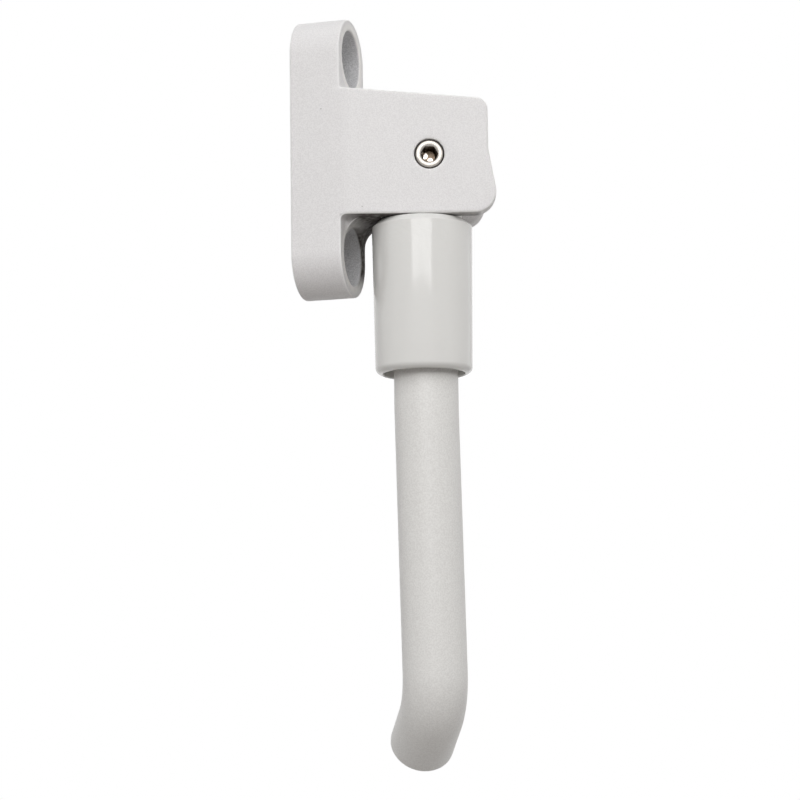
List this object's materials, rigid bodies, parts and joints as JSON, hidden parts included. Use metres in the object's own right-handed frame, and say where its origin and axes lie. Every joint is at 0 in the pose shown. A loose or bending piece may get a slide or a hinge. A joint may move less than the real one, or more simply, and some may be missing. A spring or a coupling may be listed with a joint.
{
  "type": "folding side stand",
  "caption": "Folding side stand: a sprung leg with a bent foot on a two-bolt bracket; a cam sleeve snaps the leg into its folded and lowered positions.",
  "frame": {"origin": "centre of the bracket's flat mounting face, midway between its two bolt holes", "axes": "+X out of the bracket toward the leg, square to the mounting face; +Z along the line of the bolt holes, away from the folded leg's foot; +Y completes the set, toward the side that the lowered leg leans to"},
  "size_m": [0.0415, 0.0289, 0.1557],
  "materials": {
    "bracket_coat": "white powder coat, fine texture",
    "leg_coat": "white satin coat",
    "sleeve_gloss": "gloss white moulding",
    "screw_steel": "nickel plated",
    "spring_steel": "bright spring wire",
    "bronze": "plain bearing bronze"
  },
  "bodies": {
    "mount": {"bracket": "bracket_coat", "pivot_screw": "screw_steel", "thrust_washer_front": "bronze", "thrust_washer_rear": "bronze"},
    "leg": {"pivot_bush": "bronze", "leg_eye": "leg_coat", "roll_pin": "screw_steel", "leg_rod": "leg_coat", "spring_seat": "screw_steel", "return_spring": "spring_steel"},
    "pin": {"stop_pin": "screw_steel"},
    "sleeve": {"cam_sleeve": "sleeve_gloss", "spring_washer": "screw_steel"}
  },
  "joints": [
    {"name": "leg_swing", "type": "hinge", "parent": "mount", "child": "leg", "pos_m": [0.02605, 0.00452, -0.0012], "axis": [0.284, -0.9588, 0], "range_deg": [0, 95], "deforming": ["return_spring"]},
    {"name": "pin_roll", "type": "hinge", "parent": "mount", "child": "pin", "pos_m": [0.03041, 0.00581, -0.00515], "axis": [0.284, -0.9588, 0], "range_deg": [0, 190]},
    {"name": "sleeve_travel", "type": "hinge", "parent": "pin", "child": "sleeve", "pos_m": [0.02605, 0.00452, -0.0091], "axis": [0.284, -0.9588, 0], "range_deg": [-95, 0]}
  ],
  "couplings": [
    {"joint": "pin_roll", "follows": "leg_swing", "ratio": 2},
    {"joint": "sleeve_travel", "follows": "leg_swing", "ratio": -1}
  ]
}
